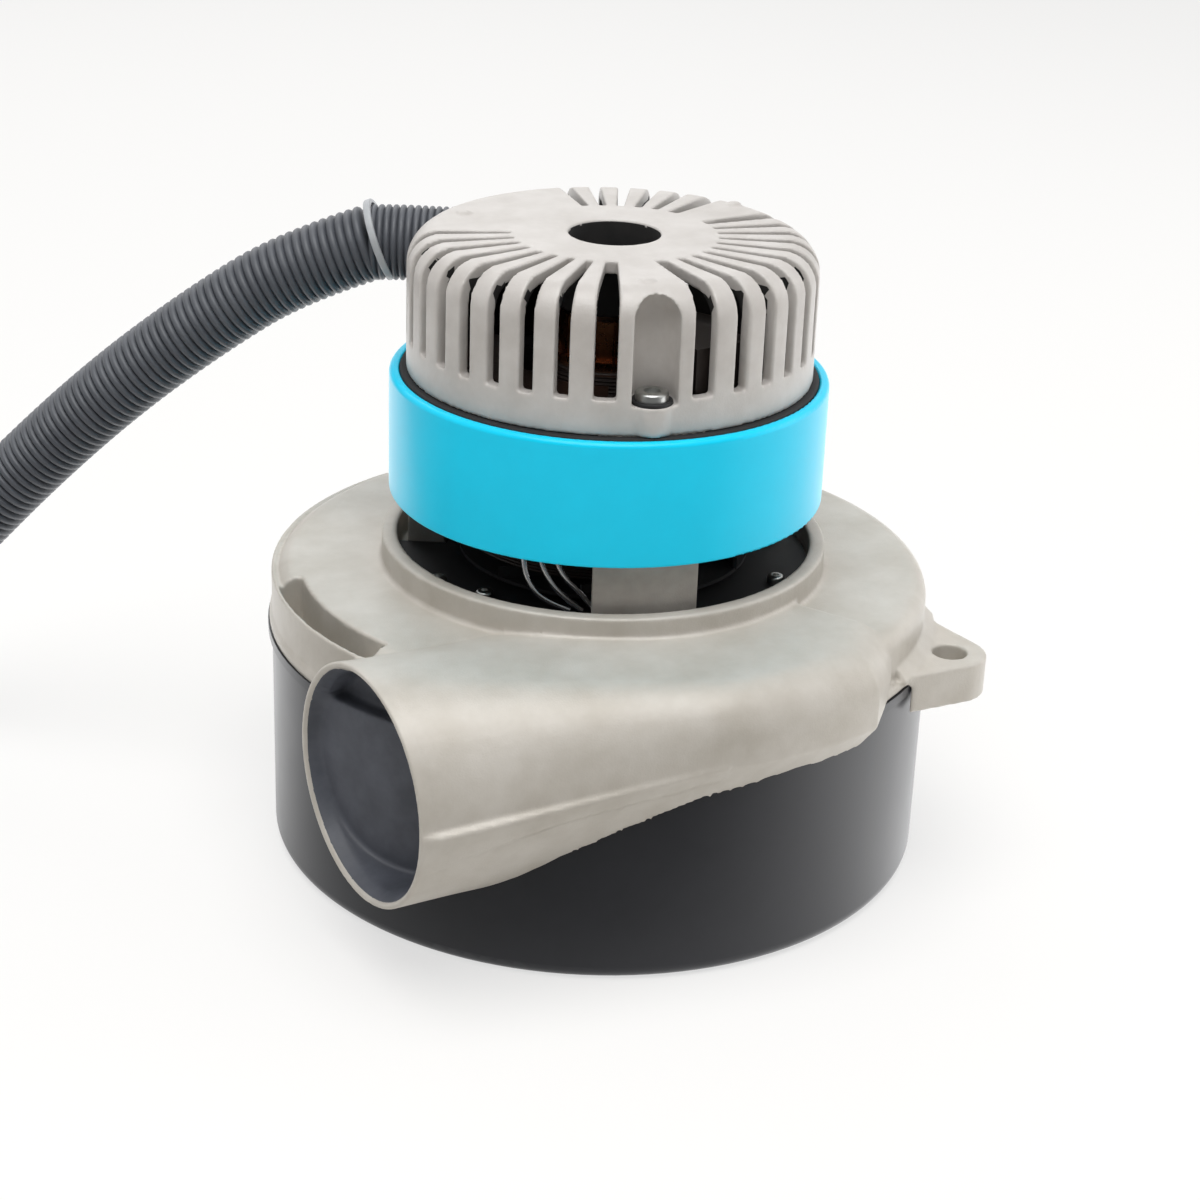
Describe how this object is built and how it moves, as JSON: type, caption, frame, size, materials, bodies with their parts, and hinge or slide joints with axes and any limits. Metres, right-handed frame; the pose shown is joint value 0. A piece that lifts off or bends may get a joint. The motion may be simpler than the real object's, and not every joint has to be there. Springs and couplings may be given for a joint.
{
  "type": "boat lift blower",
  "caption": "Two-stage centrifugal blower with a tangential outlet horn, finned motor cover, coloured band and flexible conduit lead.",
  "frame": {"origin": "rotor axis on the inlet face that the blower stands on", "axes": "+Z along the shaft towards the motor cover, -X the way the outlet horn blows"},
  "size_m": [0.4481, 0.2675, 0.1732],
  "materials": {
    "shell_paint": "satin black baked paint on drawn steel",
    "cast_alloy": "shot-blasted die-cast aluminium",
    "baffle_black": "moulded phenolic",
    "cast_alloy_dome": "shot-blasted die-cast aluminium",
    "wheel_alloy": "pressed sheet",
    "fan_sheet": "pressed sheet",
    "plate_steel": "zinc-plated pressed sheet",
    "turned_steel": "turned",
    "zinc_plate": "zinc-plated",
    "bolt_zinc": "zinc-plated",
    "bearing_steel": "ground",
    "core_steel": "varnished lamination stack",
    "magnet_wire": "enamelled copper winding",
    "commutator_copper": "turned copper bars",
    "phenolic": "moulded phenolic",
    "brush_brass": "drawn tube",
    "carbon": "sintered carbon",
    "spring_wire": "music wire",
    "band_cyan": "bright cyan moulded plastic",
    "liner_rubber": "black rubber",
    "boot_rubber": "moulded",
    "tie_nylon": "moulded nylon",
    "conduit_pvc": "corrugated flexible tube",
    "fitting_nylon": "moulded"
  },
  "bodies": {
    "housing": {"fan_shell": "shell_paint", "scroll_casting": "cast_alloy", "motor_posts": "cast_alloy", "motor_baffle": "baffle_black", "dome_cover": "cast_alloy_dome", "return_plate": "plate_steel", "plate_ring": "plate_steel", "through_bolts": "bolt_zinc", "lower_bearing_outer": "bearing_steel", "upper_bearing_outer": "bearing_steel", "wave_washer": "bearing_steel", "stator_core": "core_steel", "field_coils": "magnet_wire", "brush_ring": "phenolic", "brush_holder_left": "phenolic", "brush_holder_right": "phenolic", "brush_tube_left": "brush_brass", "brush_tube_right": "brush_brass", "brush_spring_left": "spring_wire", "brush_spring_right": "spring_wire", "cooling_band": "band_cyan", "band_liner": "liner_rubber", "conduit_boot": "boot_rubber", "conduit_tie": "tie_nylon", "conduit": "conduit_pvc", "conduit_fitting": "fitting_nylon", "conduit_locknut": "zinc_plate"},
    "rotor": {"shaft": "turned_steel", "impeller_lower": "wheel_alloy", "impeller_upper": "wheel_alloy", "spacer_middle": "turned_steel", "spacer_upper": "turned_steel", "fan_washer": "zinc_plate", "fan_nut": "zinc_plate", "lower_bearing_inner": "bearing_steel", "upper_bearing_inner": "bearing_steel", "cooling_fan": "fan_sheet", "armature_core": "core_steel", "armature_winding": "magnet_wire", "commutator": "commutator_copper"},
    "carbon_left": {"brush_left": "carbon"},
    "carbon_right": {"brush_right": "carbon"}
  },
  "joints": [
    {"name": "rotor_spin", "type": "hinge", "parent": "housing", "child": "rotor", "pos_m": [0, 0, 0.08], "axis": [0, 0, 1], "continuous": true},
    {"name": "brush_slide_left", "type": "slide", "parent": "housing", "child": "carbon_left", "axis": [0, 1, 0], "range_m": [0, 0.003], "stiffness_N_per_m": 300, "springref_m": -0.012, "deforming": ["brush_spring_left"]},
    {"name": "brush_slide_right", "type": "slide", "parent": "housing", "child": "carbon_right", "axis": [0, -1, 0], "range_m": [0, 0.003], "stiffness_N_per_m": 300, "springref_m": -0.012, "deforming": ["brush_spring_right"]}
  ]
}
